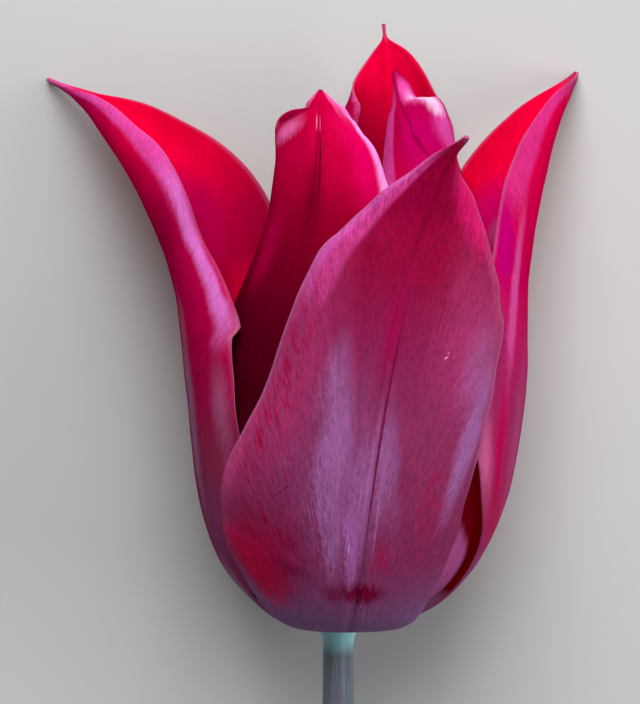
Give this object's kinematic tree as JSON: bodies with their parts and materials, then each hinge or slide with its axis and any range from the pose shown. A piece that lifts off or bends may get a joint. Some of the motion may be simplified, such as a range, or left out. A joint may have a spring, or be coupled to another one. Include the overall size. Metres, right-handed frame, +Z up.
{
  "type": "cut tulip flower",
  "caption": "Lily-flowered tulip cut on its own stem, with pointed crimson petals that flare at the tips around stamens and a pistil, lying on its side.",
  "frame": {"origin": "Middle of the flower's footprint on the surface that it lies on.", "axes": "+Y from the stem's cut end to the petal tips, +Z up from the surface, +X to the right when the flower is seen from above with its tips at the top."},
  "size_m": [0.0733, 0.2463, 0.0517],
  "materials": {
    "petal": "satin petal tissue, crimson inside and magenta with a lilac bloom outside",
    "stem": "smooth green stem with a pale waxy bloom",
    "filament": "smooth dark filament",
    "anther": "matt dark anther with fine pollen",
    "pistil": "pale yellow-green ovary under a matt cream stigma"
  },
  "bodies": {
    "root": {"stem": "stem", "petal_front": "petal", "petal_left": "petal", "petal_right": "petal", "petal_inner_left": "petal", "petal_inner_right": "petal", "petal_back": "petal", "filament_1": "filament", "anther_1": "anther", "filament_2": "filament", "anther_2": "anther", "filament_3": "filament", "anther_3": "anther", "filament_4": "filament", "anther_4": "anther", "filament_5": "filament", "anther_5": "anther", "filament_6": "filament", "anther_6": "anther", "pistil": "pistil"}
  },
  "joints": []
}
